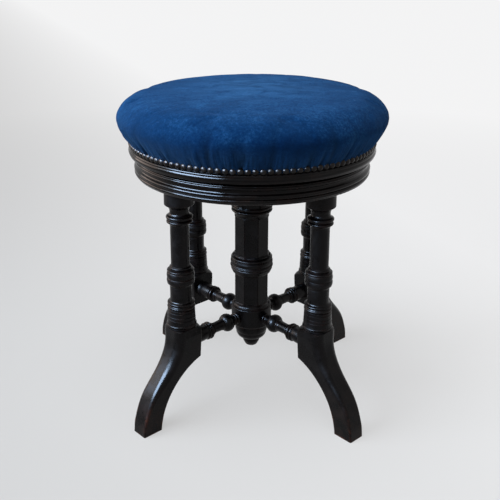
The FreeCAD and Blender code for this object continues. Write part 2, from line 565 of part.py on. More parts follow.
def foot_taper():
    """Slab seen from the front: full width at the block, narrowing to the foot."""
    waist = BLOCK_HALF - FOOT_HALF
    heights = [(BLOCK_HALF, KNEE), (BLOCK_HALF - 0.28 * waist, 0.79 * KNEE),
               (FOOT_HALF + 0.36 * waist, 0.48 * KNEE), (FOOT_HALF + 0.1 * waist, 0.18 * KNEE),
               (FOOT_HALF, 0.0)]
    right = Part.BSplineCurve()
    right.interpolate([Vector(0, y, z) for y, z in heights], InitialTangent=Vector(0, 0, -1))
    left = right.toShape().mirror(Vector(0, 0, 0), Vector(0, 1, 0))
    top_right = Vector(0, BLOCK_HALF, BLOCK_TOP + 1)
    top_left = Vector(0, -BLOCK_HALF, BLOCK_TOP + 1)
    edges = [right.toShape(), left, Part.makeLine(top_right, top_left)]
    edges += [Part.makeLine(top_right, Vector(0, BLOCK_HALF, KNEE))]
    edges += [Part.makeLine(top_left, Vector(0, -BLOCK_HALF, KNEE))]
    edges += [Part.makeLine(Vector(0, FOOT_HALF, 0), Vector(0, -FOOT_HALF, 0))]
    wire = Part.Wire(Part.__sortEdges__(edges))
    return Part.Face(wire).extrude(Vector(FOOT_OUT + 10, 0, 0))


def shoulder():
    """Turned envelope that rounds the four top corners of the block down from the collar."""
    corner = BLOCK_HALF * math.sqrt(2) + 2
    envelope = turned([(LEG_COLLAR_R, BLOCK_TOP), (corner, BLOCK_TOP - SHOULDER, 3.0), (corner, -1.0)])
    envelope.translate(Vector(LEG_RADIUS, 0, 0))
    wide = Part.makeBox(2 * FOOT_OUT, 4 * BLOCK_HALF, KNEE + 1, Vector(0, -2 * BLOCK_HALF, -1))
    return envelope.fuse(wide)


def long_edges(block):
    """Upright and swept edges below the knee."""
    return [e for e in block.Edges if e.BoundBox.ZLength > 30 and e.BoundBox.ZMin < KNEE - 20]


def foot_area(block):
    """Area on the floor."""
    return sum(face.Area for face in block.Faces if face.BoundBox.ZMax < TINY)


def round_outer_edge(block, side):
    """Rounds one outer edge, full at the knee and nearly sharp at the toe; side is +1 or -1 in Y."""
    edges = [e for e in long_edges(block) if e.BoundBox.XMax > FOOT_IN + 1 and side * e.BoundBox.Center.y > 0]
    both_ways = [block.makeFillet(KNEE_ARRIS, ARRIS, edges), block.makeFillet(ARRIS, KNEE_ARRIS, edges)]
    return max(both_ways, key=foot_area)


def leg():
    """One leg in one piece, along +X from the column axis."""
    block = round_outer_edge(round_outer_edge(leg_block(), 1), -1)
    inner = [e for e in long_edges(block) if e.BoundBox.XMax < FOOT_IN + 1]
    block = block.makeFillet(ARRIS, inner)
    turning = leg_turning()
    turning.translate(Vector(LEG_RADIUS, 0, 0))
    whole = block.fuse(turning).removeSplitter()
    return whole.cut(stretcher_socket(BLOCK_INNER, BLOCK_INNER + STRETCHER_TENON_LENGTH))


os.makedirs("parts", exist_ok=True)
seat_pieces()
stop_pieces()
fixed_top_pieces()
column_pieces()
one_leg = leg()
one_stretcher = stretcher()
for name, angle in LEG_ANGLES.items():
    save(name + "_leg", placed(one_leg, angle))
    save(name + "_stretcher", placed(one_stretcher, angle))
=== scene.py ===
# %% [markdown]
# # A revolving piano stool
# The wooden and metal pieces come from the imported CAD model, so their shapes and places are fixed.
# This lesson dresses them: it gives them materials, makes the soft cushion and sets up a small studio.
# All lengths are in metres, +Z is up, and the front of the stool faces -Y.

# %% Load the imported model
import math
import random
import bpy
from mathutils import Matrix, Vector, noise


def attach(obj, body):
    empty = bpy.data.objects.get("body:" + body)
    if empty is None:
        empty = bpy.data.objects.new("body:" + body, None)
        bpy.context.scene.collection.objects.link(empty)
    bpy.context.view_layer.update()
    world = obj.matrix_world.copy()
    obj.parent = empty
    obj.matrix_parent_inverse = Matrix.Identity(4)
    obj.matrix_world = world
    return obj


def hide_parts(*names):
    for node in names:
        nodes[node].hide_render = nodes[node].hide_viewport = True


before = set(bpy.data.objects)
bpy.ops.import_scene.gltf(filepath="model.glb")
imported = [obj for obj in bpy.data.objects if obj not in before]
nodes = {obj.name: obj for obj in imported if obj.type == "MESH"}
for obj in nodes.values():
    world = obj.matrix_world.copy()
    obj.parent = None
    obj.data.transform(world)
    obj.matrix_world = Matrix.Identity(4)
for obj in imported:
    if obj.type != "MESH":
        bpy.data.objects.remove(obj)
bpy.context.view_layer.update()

print("pieces from the CAD model:", len(nodes))

# %% [markdown]
# ## A studio for the stool
# The real stool was photographed from the front and a little above. The camera could be placed by
# eye, but it is better to work it out: the round seat and the round top look like ellipses, and
# their shapes give the height and the tilt. The lens shift keeps the upright lines where they are.

# %% Camera
CAMERA_DISTANCE = 1.1324
CAMERA_HEIGHT = 0.6868
CAMERA_SIDE = -0.0024
CAMERA_TILT = math.radians(16.81)
CAMERA_ROLL = math.radians(0.28)
STOOL_TURN = math.radians(1.78)
SENSOR_WIDTH = 36.0            # mm, like the focal length
FOCAL_LENGTH = 56.9
SHIFT = (-0.001, -0.149)       # shares of the picture's width
camera_data = bpy.data.cameras.new("camera")
camera = bpy.data.objects.new("camera", camera_data)
bpy.context.scene.collection.objects.link(camera)
turn = Matrix.Rotation(STOOL_TURN, 4, "Z")
stand = Matrix.Translation((CAMERA_SIDE, -CAMERA_DISTANCE, CAMERA_HEIGHT))
look = Matrix.Rotation(math.radians(90) - CAMERA_TILT, 4, "X") @ Matrix.Rotation(CAMERA_ROLL, 4, "Z")
camera.matrix_world = turn @ stand @ look
camera_data.sensor_width = SENSOR_WIDTH
camera_data.lens = FOCAL_LENGTH
camera_data.shift_x, camera_data.shift_y = SHIFT
bpy.context.scene.camera = camera
bpy.context.scene.view_settings.view_transform = "Standard"
print("camera at", [round(v, 3) for v in camera.matrix_world.translation])

# %% [markdown]
# A material is a tree of nodes. A few small helpers keep the cells short: each adds one kind of
# node, sets its values, joins it to what feeds it and returns what comes out.

# %% Node helpers
def add(tree, kind, **values):
    """Adds a node; a value named like a socket goes to that socket, any other to the node."""
    node = tree.nodes.new(kind)
    for name, value in values.items():
        label = name.replace("_", " ")
        if label in node.inputs:
            node.inputs[label].default_value = value
        else:
            setattr(node, name, value)
    return node


def empty_tree(tree):
    """Takes out the nodes that a new tree starts with."""
    tree.nodes.clear()
    return tree


def ramp(tree, source, stops):
    """Colour ramp behind a source, through (position, colour) stops."""
    node = add(tree, "ShaderNodeValToRGB")
    elements = node.color_ramp.elements
    while len(elements) < len(stops):
        elements.new(0.5)
    for element, (position, colour) in zip(elements, stops):
        element.position = position
        element.color = (*colour, 1.0)
    tree.links.new(source, node.inputs["Fac"])
    return node.outputs["Color"]


def spread(tree, source, low, high, to_low=0.0, to_high=1.0):
    """Stretches the part of a value between low and high, and clamps the rest."""
    node = add(tree, "ShaderNodeMapRange", From_Min=low, From_Max=high, To_Min=to_low, To_Max=to_high)
    tree.links.new(source, node.inputs["Value"])
    return node.outputs["Result"]


def combine(tree, operation, first, second):
    """Math on two values, each a socket or a number."""
    node = add(tree, "ShaderNodeMath", operation=operation)
    for socket, value in zip(node.inputs, (first, second)):
        if isinstance(value, (int, float)):
            socket.default_value = value
        else:
            tree.links.new(value, socket)
    return node.outputs["Value"]


def mix_colours(tree, amount, first, second):
    """Mixes two colours, each a socket or three numbers."""
    node = add(tree, "ShaderNodeMix", data_type="RGBA")
    for socket, value in ((node.inputs[0], amount), (node.inputs[6], first), (node.inputs[7], second)):
        if isinstance(value, tuple):
            socket.default_value = (*value, 1.0)
        elif isinstance(value, float):
            socket.default_value = value
        else:
            tree.links.new(value, socket)
    return node.outputs[2]


def cloud(tree, source, scale, detail, roughness, distortion=0.0):
    """Noise of one size on a vector."""
    node = add(tree, "ShaderNodeTexNoise", Scale=scale, Detail=detail, Roughness=roughness,
               Distortion=distortion)
    tree.links.new(source, node.inputs["Vector"])
    return node.outputs["Fac"]


def new_material(name):
    """New material; returns it with its empty tree and the piece's own coordinates."""
    material = bpy.data.materials.new(name)
    material.use_nodes = True
    tree = empty_tree(material.node_tree)
    return material, tree, add(tree, "ShaderNodeTexCoord").outputs["Object"]


def axes_of(tree, vector):
    """Outputs with the X, Y and Z of a vector."""
    node = add(tree, "ShaderNodeSeparateXYZ")
    tree.links.new(vector, node.inputs["Vector"])
    return node.outputs


def cover_surface(tree, shader):
    """Joins a shader to the output of its material."""
    finish = add(tree, "ShaderNodeOutputMaterial")
    tree.links.new(shader, finish.inputs["Surface"])


print("node helpers ready")

# %% [markdown]
# The floor is pale and gets a little lighter to the back and the right, like a paper sweep. Camera and
# mirror rays mostly see its plain colour; the rest of it is lit, so that the stool's soft shadow
# still falls on it. Light from the lamps stays at a level where colours look as they are written.

# %% Floor and world
FLOOR_FRONT = (0.61, 0.61, 0.612)
FLOOR_BACK = (0.90, 0.90, 0.905)
FLOOR_RADIUS = 14.0
FLOOR_DROP = 0.0005            # floor below the feet, so that no two faces share a plane
PLAIN_SHARE = 0.72             # of the plain colour near the stool, where its shadow falls
ROOM_LIGHT = 0.22              # of the room's glow, as far as it lights the stool


def sees_backdrop(tree):
    """1 for rays from the camera, from shiny surfaces and through clear ones."""
    path = add(tree, "ShaderNodeLightPath")
    seen = combine(tree, "MAXIMUM", path.outputs["Is Camera Ray"], path.outputs["Is Glossy Ray"])
    return combine(tree, "MAXIMUM", seen, path.outputs["Is Transmission Ray"])


bpy.ops.object.select_all(action="DESELECT")
bpy.ops.mesh.primitive_circle_add(vertices=96, radius=FLOOR_RADIUS, fill_type="NGON",
                                  location=(0, 0, -FLOOR_DROP))
floor = bpy.context.active_object
floor.name = "studio_floor"
floor_paint, tree, place = new_material("paper_floor")
along = axes_of(tree, place)
slope = combine(tree, "ADD", combine(tree, "MULTIPLY", along["Y"], 0.10),
                combine(tree, "MULTIPLY", along["X"], 0.22))
paper = ramp(tree, spread(tree, slope, -0.10, 0.16), [(0.0, FLOOR_FRONT), (1.0, FLOOR_BACK)])
lit = add(tree, "ShaderNodeBsdfDiffuse")
plain = add(tree, "ShaderNodeEmission")
tree.links.new(paper, lit.inputs["Color"])
tree.links.new(paper, plain.inputs["Color"])
joined = add(tree, "ShaderNodeMixShader")
away = add(tree, "ShaderNodeVectorMath", operation="LENGTH")
tree.links.new(place, away.inputs[0])
even = spread(tree, away.outputs["Value"], 0.5, 2.2, PLAIN_SHARE, 1.0)
tree.links.new(combine(tree, "MULTIPLY", sees_backdrop(tree), even), joined.inputs[0])
tree.links.new(lit.outputs["BSDF"], joined.inputs[1])
tree.links.new(plain.outputs["Emission"], joined.inputs[2])
cover_surface(tree, joined.outputs["Shader"])
floor.data.materials.append(floor_paint)

world = bpy.data.worlds.new("soft_room")
bpy.context.scene.world = world
world.use_nodes = True
tree = empty_tree(world.node_tree)
glow = add(tree, "ShaderNodeBackground")
glow.inputs["Color"].default_value = (*FLOOR_BACK, 1.0)
level = spread(tree, sees_backdrop(tree), 0.0, 1.0, ROOM_LIGHT, 1.0)
tree.links.new(level, glow.inputs["Strength"])
finish = add(tree, "ShaderNodeOutputWorld")
tree.links.new(glow.outputs["Background"], finish.inputs["Surface"])
print("floor and world ready")

# %% [markdown]
# Black polish shows its lamps: on the real stool a wide window to the left front leaves long
# bluish lines on every bead. One wide soft lamp there does the same, a weak one fills the right
# side and one above models the top of the cushion. A real window is far brighter than its light on
# the suede, so a second lamp near the first is seen by shiny surfaces only. A dim warm one far to
# the left stands for the lit room, which leaves a little brown in the polish on that side.

# %% Lamps
LAMP_TARGET = Vector((0, 0, 0.3))


def soft_lamp(name, azimuth, elevation, distance, size, watts, colour):
    """Rectangular lamp that faces the stool; azimuth 0 is in front, -90 on the left."""
    data = bpy.data.lights.new(name, "AREA")
    data.shape = "RECTANGLE"
    data.size, data.size_y = size
    data.energy = watts
    data.color = colour
    lamp = bpy.data.objects.new(name, data)
    bpy.context.scene.collection.objects.link(lamp)
    a, e = math.radians(azimuth), math.radians(elevation)
    offset = Vector((math.sin(a) * math.cos(e), -math.cos(a) * math.cos(e), math.sin(e))) * distance
    lamp.location = LAMP_TARGET + offset
    lamp.rotation_euler = (-offset).to_track_quat("-Z", "Y").to_euler()
    print(name, "at", [round(v, 2) for v in lamp.location])
    return lamp


soft_lamp("window", -66, 26, 1.9, (1.6, 0.9), 42, (0.86, 0.93, 1.0))
soft_lamp("fill", 65, 25, 2.2, (0.9, 1.2), 1.5, (1.0, 0.97, 0.94))
soft_lamp("sky", -35, 76, 1.9, (1.3, 1.1), 29, (0.96, 0.98, 1.0))
glint = soft_lamp("window_glint", -52, 27, 1.9, (1.5, 0.7), 380, (0.50, 0.70, 1.0))
glint.visible_diffuse = False
room = soft_lamp("warm_room_glint", -105, 12, 1.9, (1.2, 1.0), 20, (1.0, 0.80, 0.70))
room.visible_diffuse = False

# %% [markdown]
# ## The cushion
# The real seat is a mound of horsehair on a round board, covered with suede that is pulled down
# tight and nailed all round. A plain turned shape would look like moulded plastic. So the blank is
# built ring by ring with extrude and resize, remeshed into even squares, and blown up a little by a
# cloth simulation, which gives it the slightly uneven fullness of hand stuffing.

# %% Cushion blank
SEAT_R = 0.1975                # widest part
FOOT_R = 0.1788                # where the nails hold the suede
CROWN = 0.478                  # heights above the floor
WIDEST = 0.441
RIM_TOP = 0.3985
START_INSET = 0.0015           # the blank is this much smaller, so that there is room for stuffing
SHOULDER_RING = 5              # first ring above the widest part
rise = CROWN - WIDEST
fall = WIDEST - RIM_TOP
flare = SEAT_R - FOOT_R
profile = [(FOOT_R, RIM_TOP),
           (FOOT_R + 0.1 * flare, RIM_TOP + 0.17 * fall),
           (FOOT_R + 0.46 * flare, RIM_TOP + 0.4 * fall),
           (SEAT_R - 0.09 * flare, WIDEST - 0.23 * fall),
           (SEAT_R, WIDEST),
           (0.967 * SEAT_R, WIDEST + 0.37 * rise),
           (0.9 * SEAT_R, WIDEST + 0.68 * rise),
           (0.81 * SEAT_R, CROWN - 0.18 * rise),
           (0.66 * SEAT_R, CROWN - 0.09 * rise),
           (0.4 * SEAT_R, CROWN - 0.03 * rise),
           (0.1 * SEAT_R, CROWN)]
bpy.ops.object.select_all(action="DESELECT")
bpy.ops.mesh.primitive_circle_add(vertices=144, radius=profile[0][0] - START_INSET,
                                  fill_type="NOTHING", location=(0, 0, profile[0][1]))
cushion = bpy.context.active_object
cushion.name = "stuffed_cushion"
bpy.ops.object.transform_apply(location=True, rotation=True, scale=True)
bpy.ops.object.mode_set(mode="EDIT")
for (r0, z0), (r1, z1) in zip(profile, profile[1:]):
    lift = z1 - z0 - (START_INSET if (r1, z1) == profile[SHOULDER_RING] else 0.0)
    bpy.ops.mesh.extrude_region_move(TRANSFORM_OT_translate={"value": (0, 0, lift)})
    factor = (r1 - START_INSET) / (r0 - START_INSET)
    bpy.ops.transform.resize(value=(factor, factor, 1), center_override=(0, 0, 0))
bpy.ops.mesh.edge_face_add()
bpy.ops.mesh.select_all(action="DESELECT")
bpy.ops.object.mode_set(mode="OBJECT")
print("rings in the blank:", len(profile))

# %% [markdown]
# The open bottom is closed, the few rings are rounded with a subdivision modifier, and a voxel
# remesh turns the result into small even squares that cloth likes.

# %% Close and remesh
def use_only(piece):
    """Makes one piece the only selected and active one."""
    bpy.ops.object.select_all(action="DESELECT")
    piece.select_set(True)
    bpy.context.view_layer.objects.active = piece


def apply_modifier(piece, kind, **values):
    """Adds a modifier, sets it and applies it."""
    use_only(piece)
    modifier = piece.modifiers.new(kind.lower(), kind)
    for name, value in values.items():
        setattr(modifier, name, value)
    bpy.ops.object.modifier_apply(modifier=modifier.name)


VOXEL = 0.0043
apply_modifier(cushion, "SUBSURF", levels=2, render_levels=2, boundary_smooth="PRESERVE_CORNERS")
bpy.ops.object.mode_set(mode="EDIT")
bpy.ops.mesh.select_all(action="DESELECT")
bpy.ops.mesh.select_non_manifold()
bpy.ops.mesh.edge_face_add()
bpy.ops.mesh.select_all(action="SELECT")
bpy.ops.mesh.normals_make_consistent(inside=False)
bpy.ops.mesh.select_all(action="DESELECT")
bpy.ops.object.mode_set(mode="OBJECT")
apply_modifier(cushion, "REMESH", mode="VOXEL", voxel_size=VOXEL, adaptivity=0.0)
print("faces after the remesh:", len(cushion.data.polygons))

# %% [markdown]
# Cloth with air pressure inside does the stuffing. The foot, where the nails hold the suede, is
# pinned. No point may move further than 1.6 mm, so the seat keeps its real size.

# %% Stuff it
MOST_MOVE = 0.0016
PINNED_HEIGHT = 0.012          # the hold of the nails fades out over this height
SHRINK_UNDONE = 0.8            # share of a move to the inside that is taken back
CLOTH_FRAMES = 20
before = [v.co.copy() for v in cushion.data.vertices]
held = cushion.vertex_groups.new(name="nailed")
for v in cushion.data.vertices:
    height = (v.co.z - RIM_TOP) / PINNED_HEIGHT
    held.add([v.index], max(0.0, min(1.0, 1.0 - height)), "REPLACE")
use_only(cushion)
cloth = cushion.modifiers.new("cloth", "CLOTH")
cloth.settings.quality = 6
cloth.settings.use_pressure = True
cloth.settings.uniform_pressure_force = 4.0
cloth.settings.tension_stiffness = 12.0
cloth.settings.compression_stiffness = 12.0
cloth.settings.bending_stiffness = 1.0
cloth.settings.vertex_group_mass = "nailed"
cloth.settings.effector_weights.gravity = 0.0
for step in range(1, CLOTH_FRAMES + 1):
    bpy.context.scene.frame_set(step)
bpy.ops.object.modifier_apply(modifier=cloth.name)
bpy.context.scene.frame_set(1)
moved = 0.0
for v, start in zip(cushion.data.vertices, before):
    step = v.co - start
    outward = Vector((start.x, start.y, 0.0)).normalized()
    inward = min(0.0, step.dot(outward))
    step -= outward * inward * SHRINK_UNDONE
    if step.length > MOST_MOVE:
        step.length = MOST_MOVE
    v.co = start + step
    moved = max(moved, step.length)
print("largest move, mm:", round(moved * 1000, 1))

# %% [markdown]
# Remeshing and smoothing shave a little off the widest part, so the side is eased back out to the
# real radius. The foot stays where the nails hold it.

# %% True the radius
widest = max(math.hypot(v.co.x, v.co.y) for v in cushion.data.vertices)
crown = max(v.co.z for v in cushion.data.vertices)
for v in cushion.data.vertices:
    share = min(1.0, max(0.0, (v.co.z - RIM_TOP) / fall))
    share = share * share * (3.0 - 2.0 * share)
    grow = 1.0 + (SEAT_R / widest - 1.0) * share
    v.co.x *= grow
    v.co.y *= grow
    v.co.z += (CROWN - crown) * share
print("widest before, mm:", round(widest * 1000, 1), "crown before:", round(crown * 1000, 1))

# %% [markdown]
# ### Gathers and creases
# The nails pull the edge of a flat round of suede onto a smaller circle, so the spare leather runs
# up from them in small folds. They are deepest at the front, where two sides of the hide meet. The
# folds are finer than the remesh, so they come after it, as moves of the finished points.

# %% Gathers
random.seed(7)
NAILS = 116
FOLDS = 150
FRONT_ANGLE = 1.9              # radians to each side of the front where folds are deeper
SIDE_R = 0.15                  # only points outside this radius are folded
FOLDED = (0.0005, 0.07)        # between these heights above the rim
NAIL_LINE = 0.0046             # nail centres above the rim
NAIL_GRIP = 0.005              # height over which the nails hold the suede flat
FULL_FOLD = 0.0013             # depth that counts as the bottom of a fold
gathers = []
for _ in range(FOLDS):
    angle = random.uniform(-math.pi, math.pi)
    frontness = max(0.0, math.cos(angle * 0.8)) if abs(angle) < FRONT_ANGLE else 0.0
    depth = random.uniform(0.35, 0.9) + random.uniform(0.4, 1.5) * frontness
    reach = random.uniform(0.010, 0.022) + random.uniform(0.006, 0.022) * frontness
    width = random.uniform(0.0016, 0.0034)
    lean = random.uniform(-0.12, 0.12)
    gathers.append((angle, depth / 1000, width, reach, lean))


def gather_depth(angle, above):
    """How far the folds push a point of the side in or out, by its angle and height above the rim."""
    total = 0.0
    for centre, depth, width, reach, lean in gathers:
        if above > reach * 1.6:
            continue
        off = (angle - centre - lean * above / reach * 0.2 + math.pi) % (2 * math.pi) - math.pi
        along = off * FOOT_R
        spread_width = width * (1.0 + 0.9 * above / reach)
        if abs(along) > 4 * spread_width:
            continue
        fade = math.exp(-(above / reach) ** 2)
        groove = math.exp(-(along / spread_width) ** 2)
        ridge = math.exp(-((abs(along) - 1.9 * spread_width) / spread_width) ** 2)
        total += depth * fade * (0.45 * ridge - groove)
    return total


apply_modifier(cushion, "SUBSURF", levels=1, render_levels=1)
mesh = cushion.data
# the depth of each fold is stored, and the suede paints shade in it
folds = mesh.attributes.new("fold", "FLOAT", "POINT")
deepest = 0.0
for v in mesh.vertices:
    r = math.hypot(v.co.x, v.co.y)
    above = v.co.z - RIM_TOP
    angle = math.atan2(v.co.x, -v.co.y)
    if r > SIDE_R and FOLDED[0] < above < FOLDED[1]:
        out = Vector((v.co.x / r, v.co.y / r, 0.0))
        push = gather_depth(angle, above)
        nailed = math.exp(-(max(0.0, above - NAIL_LINE) / NAIL_GRIP) ** 2)
        pressed = 0.0003 + 0.0004 * math.cos(NAILS * angle)
        push = min(push, push * (1.0 - nailed)) - pressed * nailed
        v.co += out * push
        folds.data[v.index].value = min(1.0, max(0.0, -push / FULL_FOLD))
        deepest = min(deepest, push)
print("deepest fold, mm:", round(deepest * 1000, 2))

# %% [markdown]
# Years of sitting leave shallow hollows and soft creases on the crown, and the stuffing stands a
# little higher on one side. Noise with a long wave gives the hollows, and noise that is stretched
# in one direction gives the creases.

# %% Creases on the crown
HOLLOW = 0.0008
CREASE = 0.0005
CREASE_WIDTH = 0.16            # share of the noise that dips into a crease
UNEVEN_EDGE = 0.00045
TILT = 0.0016                  # rise of the right side
START_BELOW = 0.02             # all of this starts below the widest part
FADE_IN = 0.03
for v in mesh.vertices:
    p = v.co
    if p.z > WIDEST - START_BELOW:
        r = math.hypot(p.x, p.y)
        hollow = noise.noise(Vector((p.x * 14, p.y * 14, p.z * 10))) * HOLLOW
        crease = noise.noise(Vector((p.x * 11 + 3.0, p.y * 46, p.z * 30 + 7.0)))
        crease = -CREASE * max(0.0, 1.0 - abs(crease) / CREASE_WIDTH)
        edge = noise.noise(Vector((p.x * 40, p.y * 40, p.z * 22 + 2.0)))
        edge = edge * UNEVEN_EDGE * (r / SEAT_R) ** 3
        tilt = TILT * p.x / SEAT_R
        share = min(1.0, (p.z - WIDEST + START_BELOW) / FADE_IN)
        v.co.z += (hollow + crease + edge + tilt) * share
mesh.update()
use_only(cushion)
bpy.ops.object.shade_smooth()
size = [round(v * 1000, 1) for v in cushion.dimensions]
print("cushion, mm:", size, "faces:", len(mesh.polygons))
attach(cushion, "seat")
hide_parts("seat_cover", "seat_stuffing")

# %% [markdown]
# ## Suede
# The cover is blue suede. Its nap lies in every direction, so it looks mottled: brushed patches are
# lighter, the rest is deeper. Noises of three sizes mix three blues. Painted light and shade, wear,
# dirt, painted shade in the pleats, pale scuffs and a painted sheen are laid over them one after
# the other, and a fine bump makes the nap.

# %% Suede material
SUEDE_DEEP = (0.0018, 0.014, 0.060)
SUEDE_MID = (0.0038, 0.032, 0.114)
SUEDE_LIGHT = (0.015, 0.080, 0.225)
SUEDE_SIDE_SHADE = (0.0016, 0.015, 0.060)
SUEDE_RUBBED_TOP_LIGHT = (0.030, 0.115, 0.280)
SUEDE_DIRT_AND_LOW_SHADE = (0.0034, 0.0115, 0.0330)
SUEDE_SHADOW = (0.0012, 0.0040, 0.0120)
SUEDE_SCUFF = (0.07, 0.18, 0.38)
SUEDE_PAINTED_SHEEN = (0.018, 0.080, 0.200)
SHEEN_TINT = (0.45, 0.62, 0.95)

suede, tree, place = new_material("blue_suede")
flat = add(tree, "ShaderNodeMapping")
flat.inputs["Scale"].default_value = (0.75, 1.15, 1.1)
tree.links.new(place, flat.inputs["Vector"])
patches = cloud(tree, place, 11.0, 5.0, 0.62, 0.6)
brushed = cloud(tree, flat.outputs["Vector"], 34.0, 6.0, 0.70, 0.8)
nap = cloud(tree, place, 300.0, 4.0, 0.75)
fuzz = cloud(tree, place, 1500.0, 2.0, 0.7)
mottle = combine(tree, "ADD", combine(tree, "MULTIPLY", patches, 0.58),
                 combine(tree, "MULTIPLY", brushed, 0.42))
fine = combine(tree, "MULTIPLY", combine(tree, "SUBTRACT", nap, 0.5), 0.75)
mottle = combine(tree, "ADD", mottle, fine)
blues = ramp(tree, spread(tree, mottle, 0.33, 0.69),
             [(0.0, SUEDE_DEEP), (0.5, SUEDE_MID), (1.0, SUEDE_LIGHT)])
print("mottled blues for", suede.name)

# %% [markdown]
# The crown is rubbed pale by sitting, and it is also painted lighter, as if lit from above. The side
# is painted darker as shade. Low down towards the nails the suede is darker again: partly dirt from
# shoes and dusters, partly painted shade under the bulge.

# %% Painted light and shade, wear and dirt on the suede
PALE_CROWN_CENTRE = (0.0, 0.02, CROWN)    # middle of the place that is sat on
height = axes_of(tree, place)["Z"]
# painted shade: the side below the crown is darker, as if the light came from above
side_shade = spread(tree, height, 0.440, 0.476, 0.62, 0.0)
side_shade = combine(tree, "MULTIPLY", side_shade, spread(tree, patches, 0.3, 0.7, 1.2, 0.6))
blues = mix_colours(tree, side_shade, blues, SUEDE_SIDE_SHADE)
from_sitter = add(tree, "ShaderNodeVectorMath", operation="DISTANCE")
tree.links.new(place, from_sitter.inputs[0])
from_sitter.inputs[1].default_value = PALE_CROWN_CENTRE
# partly wear from sitting, partly painted light: the middle of the crown is made paler, as if lit from
# above
rubbed_and_top_light = spread(tree, from_sitter.outputs["Value"], 0.03, 0.15, 0.85, 0.0)
rubbed_and_top_light = combine(tree, "MULTIPLY", rubbed_and_top_light, spread(tree, brushed, 0.35, 0.65))
blues = mix_colours(tree, rubbed_and_top_light, blues, SUEDE_RUBBED_TOP_LIGHT)
# partly dirt, partly painted shade: darker towards the nails, under the bulge of the cushion
dirt_and_low_shade = spread(tree, height, RIM_TOP + 0.004, RIM_TOP + 0.050, 0.75, 0.0)
dirt = combine(tree, "MULTIPLY", dirt_and_low_shade, spread(tree, brushed, 0.3, 0.6, 0.6, 1.0))
blues = mix_colours(tree, dirt, blues, SUEDE_DIRT_AND_LOW_SHADE)
print("painted light and shade, wear and dirt on", suede.name)

# %% [markdown]
# Fine pleats run up from the nails between the modelled folds. Noise that is read in the direction
# away from the middle of the seat, and hardly at all in height, makes long upright streaks. The
# bottom of every pleat and fold gets painted shade, nearly black.

# %% Fine pleats
level_only = add(tree, "ShaderNodeVectorMath", operation="MULTIPLY")
level_only.inputs[1].default_value = (1.0, 1.0, 0.0)
tree.links.new(place, level_only.inputs[0])
heading = add(tree, "ShaderNodeVectorMath", operation="NORMALIZE")
tree.links.new(level_only.outputs["Vector"], heading.inputs[0])
upward = add(tree, "ShaderNodeCombineXYZ")
tree.links.new(combine(tree, "MULTIPLY", height, 0.6), upward.inputs["Z"])
ray = add(tree, "ShaderNodeVectorMath", operation="ADD")
tree.links.new(heading.outputs["Vector"], ray.inputs[0])
tree.links.new(upward.outputs["Vector"], ray.inputs[1])
pleats = cloud(tree, ray.outputs["Vector"], 44.0, 2.0, 0.6)
at_front = spread(tree, axes_of(tree, heading.outputs["Vector"])["Y"], 0.2, -0.8, 0.3, 1.0)
near_nails = spread(tree, height, RIM_TOP + 0.008, RIM_TOP + 0.040, 1.0, 0.0)
pleated = combine(tree, "MULTIPLY", at_front, near_nails)
in_fold = add(tree, "ShaderNodeAttribute", attribute_name="fold")
# painted shade: the bottoms of the fine pleats and of the modelled folds are nearly black
valley_shade = combine(tree, "MULTIPLY", pleated, spread(tree, pleats, 0.55, 0.40, 0.0, 0.9))
valley_shade = combine(tree, "MAXIMUM", valley_shade, combine(tree, "MULTIPLY", in_fold.outputs["Fac"], 0.9))
blues = mix_colours(tree, valley_shade, blues, SUEDE_SHADOW)
print("pleats on", suede.name)

# %% [markdown]
# Short pale scuffs lie on the upper side only, and surfaces that are seen at a slant get a painted
# sheen, a lighter blue. Suede has no gloss, so the shader gets no specular at all, only a little
# sheen. The nap and the pleats go into two bumps, one behind the other.

# %% Scuffs, painted sheen, nap and shader
scuffs = spread(tree, cloud(tree, flat.outputs["Vector"], 85.0, 3.0, 0.5, 2.0), 0.64, 0.75)
high = spread(tree, height, 0.448, 0.458)
high = combine(tree, "MULTIPLY", high, spread(tree, patches, 0.45, 0.62, 0.0, 0.45))
blues = mix_colours(tree, combine(tree, "MULTIPLY", scuffs, high), blues, SUEDE_SCUFF)
# painted sheen: a lighter blue where the surface is seen at a slant
slant = add(tree, "ShaderNodeLayerWeight", Blend=0.35)
painted_sheen = combine(tree, "MULTIPLY", slant.outputs["Facing"], 0.42)
blues = mix_colours(tree, painted_sheen, blues, SUEDE_PAINTED_SHEEN)
leather = add(tree, "ShaderNodeBsdfPrincipled", Roughness=0.95, Specular_IOR_Level=0.0,
              Sheen_Weight=0.05, Sheen_Roughness=0.5)
leather.inputs["Sheen Tint"].default_value = (*SHEEN_TINT, 1.0)
tree.links.new(blues, leather.inputs["Base Color"])
bump = add(tree, "ShaderNodeBump", Strength=0.7, Distance=0.0008)
tree.links.new(combine(tree, "ADD", nap, combine(tree, "MULTIPLY", fuzz, 0.5)), bump.inputs["Height"])
ribs = add(tree, "ShaderNodeBump", Strength=1.0, Distance=0.004)
tree.links.new(combine(tree, "MULTIPLY", pleats, pleated), ribs.inputs["Height"])
tree.links.new(bump.outputs["Normal"], ribs.inputs["Normal"])
tree.links.new(ribs.outputs["Normal"], leather.inputs["Normal"])
cover_surface(tree, leather.outputs["BSDF"])
cushion.data.materials.clear()
cushion.data.materials.append(suede)
print("suede on", cushion.name)

# %% [markdown]
# ## Shared effects
# Rubbed edges, grain and dirt are needed on wood and on metal. A node group is built once, with
# named inputs and outputs, and each material places it with its own values. The edge mask compares
# the true surface direction with one that is rounded over the edge: they differ only near an edge.

